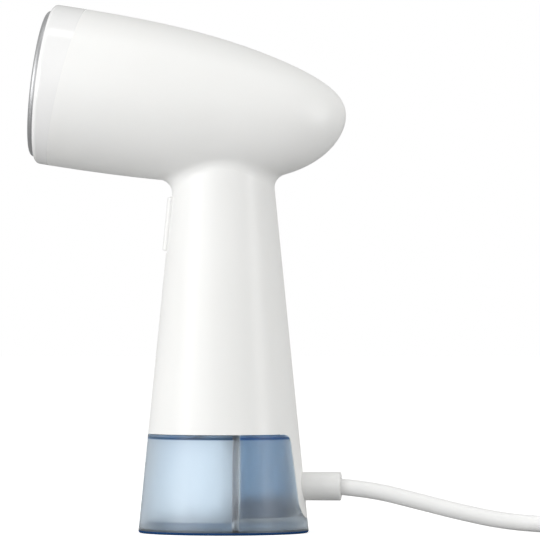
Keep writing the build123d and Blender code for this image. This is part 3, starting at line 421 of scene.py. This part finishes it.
bump(tree, shader, crossing.outputs["Value"], 0.0002, 0.8)
coil_strap = finish_piece("coil_strap", strap_bm, "casing", loop_fabric, ["coil_tie"])

# ---- Casing ----
# Two ABS shells, left and right, moulded in a fine satin texture and closed round the boiler,
# pump and board.  The trigger is moulded in the same white.
satin_white, tree, shader, place = new_material("satin_white")
spark = noise(tree, place, 2600.0, detail=2.0, roughness=0.6)
sweep_tone = noise(tree, place, 14.0, detail=2.0)
tree.links.new(tint(tree, sweep_tone, (0.905, 0.905, 0.893), (0.93, 0.93, 0.92)),
               shader.inputs["Base Color"])
tree.links.new(spread(tree, noise(tree, place, 300.0), 0.36, 0.43), shader.inputs["Roughness"])
shader.inputs["Subsurface Weight"].default_value = 0.04
shader.inputs["Subsurface Radius"].default_value = (0.0012, 0.0011, 0.001)
bump(tree, shader, spark, 0.000025, 0.45)
dress(satin_white, "shell_left", "shell_right", "trigger")

# ---- Front collar ----
# A polished ABS ring between the shells and the steam plate.  The plate bears on a ledge inside
# it, and so clamps it on the front of the shells.
gloss_white, tree, shader, place = new_material("gloss_white")
tree.links.new(tint(tree, noise(tree, place, 20.0), (0.9, 0.9, 0.9), (0.925, 0.925, 0.925)),
               shader.inputs["Base Color"])
tree.links.new(spread(tree, noise(tree, place, 120.0), 0.1, 0.15), shader.inputs["Roughness"])
shader.inputs["Coat Weight"].default_value = 0.35
shader.inputs["Coat Roughness"].default_value = 0.05
bump(tree, shader, noise(tree, place, 260.0, detail=1.0), 0.00002, 0.3)
dress(gloss_white, "front_collar")

# ---- Strain relief ----
# A plain white sleeve moulded round the lead where it leaves the tongue of the casing; a flange
# on its inner end is caught behind the tongue's wall.
white_sleeve, tree, shader, place = new_material("white_sleeve")
tree.links.new(tint(tree, noise(tree, place, 70.0), (0.84, 0.84, 0.83), (0.88, 0.88, 0.87)),
               shader.inputs["Base Color"])
tree.links.new(spread(tree, noise(tree, place, 700.0), 0.42, 0.5), shader.inputs["Roughness"])
bump(tree, shader, noise(tree, place, 1600.0), 0.00003, 0.5)
dress(white_sleeve, "cord_gland")

# ---- Steam plate ----
# A round stainless plate, linished in one direction, with two rings of drilled steam holes.
# Three screws from behind draw it, the steam chamber and the boiler's bracket together.
linished_steel, tree, shader, place = new_material("linished_steel")
stretch = tree.nodes.new("ShaderNodeMapping")
stretch.inputs["Scale"].default_value = (1.0, 1.0, 0.03)
tree.links.new(place, stretch.inputs["Vector"])
brush_marks = noise(tree, stretch.outputs["Vector"], 4200.0, detail=3.0, roughness=0.65)
shader.inputs["Metallic"].default_value = 1.0
tree.links.new(tint(tree, brush_marks, (0.47, 0.475, 0.485), (0.57, 0.575, 0.585)),
               shader.inputs["Base Color"])
tree.links.new(spread(tree, brush_marks, 0.46, 0.56), shader.inputs["Roughness"])
bump(tree, shader, brush_marks, 0.00002, 0.5)
dress(linished_steel, "steam_plate")

# ---- Water tank ----
# A cup of translucent blue plastic with a base welded in.  Deep blue bands are painted shade where a
# flat wall is seen edge on, under the rim and at the top of the base; a pale band at the base's foot is
# a painted highlight, and the cup is pale through the open chamber.  The flat wall behind the water is
# thin, and its clear colour is painted light, so that it is not seen dark edge on.
def height_bands(tree, place, bands, low, high):
    # a colour for each height, from a list of (height, colour)
    apart = tree.nodes.new("ShaderNodeSeparateXYZ")
    tree.links.new(place, apart.inputs["Vector"])
    level = spread(tree, apart.outputs["Z"], 0.0, 1.0, low, high)
    ramp = tree.nodes.new("ShaderNodeValToRGB")
    marks = ramp.color_ramp.elements
    while len(marks) < len(bands):
        marks.new(0.5)
    for mark, (height, colour) in zip(marks, bands):
        mark.position = (height - low) / (high - low)
        mark.color = (*colour, 1.0)
    tree.links.new(level, ramp.inputs["Fac"])
    return ramp.outputs["Color"]


PALE_BLUE = (0.815, 0.897, 0.962)
MID_BLUE = (0.56, 0.73, 0.92)
PAINTED_SHADE_BLUE = (0.10, 0.27, 0.56)
PAINTED_LIGHT_CLEAR = (1.0, 1.0, 1.0)
# the deep blue line under the rim is painted shade of the top plate seen edge on
RIM_LOW, RIM_HIGH = 0.0430, 0.0437  # the deep blue line under the rim
RIM_FADE = 0.0004
BASE_DEPTH = 0.0050        # where the base is welded to the cup
# the rear wall's clear colour is painted light, which takes out the dark band where it is seen edge on
REAR_WALL_X = 0.009        # middle of the flat wall behind the water
REAR_WALL_DEEP = 0.0016    # half its reach along X
REAR_WALL_HALF = 0.040     # and along Y
TANK_BENDING = 1.36        # how strongly the plastic bends the light
REAR_WALL_BENDING = 1.05


def within(tree, value, middle, half):
    # 1 where the value is within half of the middle, 0 elsewhere
    compare = tree.nodes.new("ShaderNodeMath")
    compare.operation = "COMPARE"
    compare.inputs[1].default_value = middle
    compare.inputs[2].default_value = half
    tree.links.new(value, compare.inputs[0])
    return compare.outputs["Value"]


def tank_finish(name, bands, low, high):
    # the blue of the given height bands, slightly cloudy, and painted clear in the rear wall, painted
    # light so that it is not seen dark edge on
    material, tree, shader, place = new_material(name)
    shader.inputs["Transmission Weight"].default_value = 0.95
    cloud = tree.nodes.new("ShaderNodeMix")
    cloud.data_type = "RGBA"
    cloud.blend_type = "MULTIPLY"
    cloud.inputs["Factor"].default_value = 1.0
    tree.links.new(height_bands(tree, place, bands, low, high), cloud.inputs["A"])
    haze = noise(tree, place, 22.0, detail=1.0)
    tree.links.new(tint(tree, haze, (0.975, 0.985, 1.0), (1.0, 1.0, 1.0)), cloud.inputs["B"])
    apart = tree.nodes.new("ShaderNodeSeparateXYZ")
    tree.links.new(place, apart.inputs["Vector"])
    rear_wall = tree.nodes.new("ShaderNodeMath")
    rear_wall.operation = "MULTIPLY"
    tree.links.new(within(tree, apart.outputs["X"], REAR_WALL_X, REAR_WALL_DEEP), rear_wall.inputs[0])
    tree.links.new(within(tree, apart.outputs["Y"], 0.0, REAR_WALL_HALF), rear_wall.inputs[1])
    bending = spread(tree, rear_wall.outputs["Value"], TANK_BENDING, REAR_WALL_BENDING, 0.0, 1.0)
    tree.links.new(bending, shader.inputs["IOR"])
    # painted light: the rear wall gets a clear colour instead of the blue
    painted_clear = tree.nodes.new("ShaderNodeMix")
    painted_clear.data_type = "RGBA"
    painted_clear.inputs["B"].default_value = (*PAINTED_LIGHT_CLEAR, 1.0)
    tree.links.new(rear_wall.outputs["Value"], painted_clear.inputs["Factor"])
    tree.links.new(cloud.outputs["Result"], painted_clear.inputs["A"])
    tree.links.new(painted_clear.outputs["Result"], shader.inputs["Base Color"])
    tree.links.new(spread(tree, noise(tree, place, 90.0), 0.34, 0.4), shader.inputs["Roughness"])
    bump(tree, shader, noise(tree, place, 60.0, detail=1.0), 0.00003, 0.2)
    return material


# the deep band under the rim is painted shade of the top plate seen edge on
cup_bands = [(0.0, PALE_BLUE), (RIM_LOW - RIM_FADE, PALE_BLUE), (RIM_LOW, PAINTED_SHADE_BLUE),
             (RIM_HIGH, PAINTED_SHADE_BLUE), (RIM_HIGH + RIM_FADE, MID_BLUE)]
tank_blue = tank_finish("tank_blue", cup_bands, 0.0, 0.05)
dress(tank_blue, "tank_shell")
# the pale band at the base's foot is a painted highlight on its rounded bottom edge; the deep band at
# its top is painted shade of the floor seen edge on
base_bands = [(0.0014, PALE_BLUE), (0.0019, MID_BLUE), (BASE_DEPTH - RIM_FADE, MID_BLUE),
              (BASE_DEPTH, PAINTED_SHADE_BLUE)]
tank_base_blue = tank_finish("tank_base_blue", base_bands, 0.0, 0.01)
dress(tank_base_blue, "tank_base")

# ---- Foot pad ----
# A thin soft pad of dark blue rubber, bonded under the tank's base, on which the steamer
# stands.
foot_rubber, tree, shader, place = new_material("foot_rubber")
tree.links.new(tint(tree, noise(tree, place, 90.0), (0.018, 0.06, 0.17), (0.024, 0.072, 0.2)),
               shader.inputs["Base Color"])
shader.inputs["Specular IOR Level"].default_value = 0.0
tree.links.new(spread(tree, noise(tree, place, 800.0), 0.3, 0.42), shader.inputs["Roughness"])
bump(tree, shader, noise(tree, place, 1800.0), 0.00003, 0.4)
dress(foot_rubber, "foot_pad")

# ---- Spine column ----
# A hollow post of blue-grey glass-filled plastic behind the tank, which carries the lead up
# into the grip; it is seen through the tank's rear wall, and is painted darker towards its foot as
# painted shade.
column_plastic, tree, shader, place = new_material("column_plastic")
# near black low down: painted shade at the column's foot
column_bands = [(0.008, (0.01, 0.035, 0.08)), (0.014, (0.01, 0.035, 0.08)),
                (0.020, (0.14, 0.25, 0.38)), (0.05, (0.15, 0.27, 0.4))]
column_shade = height_bands(tree, place, column_bands, 0.0, 0.06)
column_grain = tree.nodes.new("ShaderNodeMix")
column_grain.data_type = "RGBA"
column_grain.blend_type = "MULTIPLY"
column_grain.inputs["Factor"].default_value = 1.0
tree.links.new(column_shade, column_grain.inputs["A"])
tree.links.new(tint(tree, noise(tree, place, 300.0), (0.92, 0.92, 0.92), (1.0, 1.0, 1.0)),
               column_grain.inputs["B"])
tree.links.new(column_grain.outputs["Result"], shader.inputs["Base Color"])
tree.links.new(spread(tree, noise(tree, place, 900.0), 0.5, 0.62), shader.inputs["Roughness"])
bump(tree, shader, noise(tree, place, 2200.0), 0.00004, 0.5)
dress(column_plastic, "spine_column")


# ---- Grey moulded parts ----
# Glass-filled plastic, a little streaky from the mould: dock plate and nipple, brackets, pump
# body, cord clamp, fill cap, pickup tube and its filter.
def moulded(name, dark, light, rough=(0.45, 0.6), tone=60.0, grain=1500.0, relief=0.00004, metal=0.0):
    # a plain moulded or cast finish: two close tones, uneven gloss and a fine skin
    material, tree, shader, place = new_material(name)
    tree.links.new(tint(tree, noise(tree, place, tone), dark, light), shader.inputs["Base Color"])
    tree.links.new(spread(tree, noise(tree, place, grain / 2), *rough), shader.inputs["Roughness"])
    bump(tree, shader, noise(tree, place, grain), relief, 0.5)
    shader.inputs["Metallic"].default_value = metal
    return material


grey_plastic = moulded("grey_plastic", (0.3, 0.33, 0.37), (0.35, 0.38, 0.42))
dress(grey_plastic, "boiler_bracket", "switch_bracket", "dock_plate", "dock_nipple", "pump_body",
      "cord_clamp", "fill_cap", "pickup_tube", "inlet_filter")

# ---- Silicone parts ----
# Cloudy soft silicone, moulded or extruded and pushed into place: the plate's gasket, both hoses,
# the pump's rings and the two seals.
silicone = moulded("silicone", (0.74, 0.73, 0.7), (0.82, 0.81, 0.78), (0.35, 0.5), 40.0, 900.0, 0.00005)
shader = silicone.node_tree.nodes["Principled BSDF"]
shader.inputs["Subsurface Weight"].default_value = 0.25
shader.inputs["Subsurface Radius"].default_value = (0.003, 0.003, 0.0028)
dress(silicone, "plate_gasket", "pump_hose", "suction_hose", "pump_mounts", "tank_seal", "cap_seal")

# ---- Steam chamber ----
# Cast aluminium, grainy and dull from the die: a round block with a ribbed hollow in front,
# where the water turns to steam, and three lugs for the plate's screws.
cast_aluminium = moulded("cast_aluminium", (0.5, 0.5, 0.51), (0.62, 0.62, 0.63), (0.42, 0.6), 180.0,
                         900.0, 0.00015, 1.0)
dress(cast_aluminium, "steam_chamber")

# ---- Heating element ----
# A mineral-filled steel tube, browned by heat and bent in an open ring, cast into the back of
# the steam chamber with its two terminals standing out.
element_steel = moulded("element_steel", (0.3, 0.27, 0.25), (0.44, 0.42, 0.42), (0.3, 0.5), 120.0,
                        700.0, 0.00004, 1.0)
dress(element_steel, "heating_element")

# ---- Screws, pins and springs ----
# Zinc-plated steel, bright with faint drawing marks.  The pump's frame and piston and the
# thermal fuse's case are plated in the same way.
zinc_steel = moulded("zinc_steel", (0.56, 0.57, 0.58), (0.7, 0.71, 0.72), (0.24, 0.4), 220.0, 1400.0,
                     0.00002, 1.0)
dress(zinc_steel, "plate_screws", "bracket_screws", "dock_screws", "column_screws", "clamp_screws",
      "trigger_pin", "trigger_spring", "detent_springs", "pump_frame", "pump_piston", "thermal_fuse")

# ---- Boiler inlet ----
# A brass elbow let into the back of the steam chamber, dulled in patches by the heat; the pump's
# hose is pushed over its mouth.
inlet_brass = moulded("inlet_brass", (0.6, 0.43, 0.17), (0.76, 0.58, 0.27), (0.22, 0.36), 200.0, 1600.0,
                      0.00003, 1.0)
dress(inlet_brass, "inlet_elbow")

# ---- Switch and thermostat ----
# Black phenolic bodies, fine and matt, pressed in a die, and the red button that the trigger
# pushes into the switch.
black_phenolic = moulded("black_phenolic", (0.018, 0.018, 0.02), (0.04, 0.04, 0.044), (0.4, 0.55))
dress(black_phenolic, "microswitch", "thermostat")
button_red = moulded("button_red", (0.5, 0.04, 0.03), (0.62, 0.07, 0.05), (0.3, 0.42))
dress(button_red, "switch_plunger")

# ---- Pump coil ----
# Enamelled copper wire wound layer on layer between two flanges, so that it is ribbed all
# round.  It drives the pump's piston.
copper_wire, tree, shader, place = new_material("copper_wire")
windings = tree.nodes.new("ShaderNodeTexWave")
windings.bands_direction = "Z"
windings.inputs["Scale"].default_value = 500.0
windings.inputs["Distortion"].default_value = 0.3
tree.links.new(place, windings.inputs["Vector"])
shader.inputs["Metallic"].default_value = 0.9
tree.links.new(tint(tree, windings.outputs["Fac"], (0.36, 0.13, 0.05), (0.66, 0.3, 0.14)),
               shader.inputs["Base Color"])
tree.links.new(spread(tree, noise(tree, place, 300.0), 0.22, 0.36), shader.inputs["Roughness"])
bump(tree, shader, windings.outputs["Fac"], 0.0001, 0.8)
dress(copper_wire, "pump_coil")

# ---- Control board ----
# A green glass-fibre board, with copper tracks showing through the resist, and the resin-cased
# parts soldered on it.
board_green, tree, shader, place = new_material("board_green")
tracks = tree.nodes.new("ShaderNodeTexBrick")
tracks.inputs["Scale"].default_value = 160.0
tracks.inputs["Mortar Size"].default_value = 0.03
tracks.inputs["Color1"].default_value = (0.012, 0.11, 0.045, 1.0)
tracks.inputs["Color2"].default_value = (0.015, 0.13, 0.055, 1.0)
tracks.inputs["Mortar"].default_value = (0.04, 0.24, 0.1, 1.0)
board_turn = tree.nodes.new("ShaderNodeMapping")
board_turn.inputs["Rotation"].default_value = (0.0, math.pi / 2, 0.0)
tree.links.new(place, board_turn.inputs["Vector"])
tree.links.new(board_turn.outputs["Vector"], tracks.inputs["Vector"])
tree.links.new(tracks.outputs["Color"], shader.inputs["Base Color"])
tree.links.new(spread(tree, noise(tree, place, 400.0), 0.25, 0.4), shader.inputs["Roughness"])
bump(tree, shader, tracks.outputs["Fac"], 0.00003, 0.5)
dress(board_green, "control_board")
part_resin = moulded("part_resin", (0.02, 0.03, 0.06), (0.05, 0.06, 0.1), (0.35, 0.5))
dress(part_resin, "board_parts")

# ---- Heater and supply wires ----
# Stranded wire in off-white sleeving of glass fibre and silicone, which stands the boiler's
# heat.
wire_sleeve = moulded("wire_sleeve", (0.7, 0.69, 0.64), (0.8, 0.79, 0.74), (0.5, 0.65), 150.0, 1200.0,
                      0.00006)
dress(wire_sleeve, "heater_wires", "supply_wires")
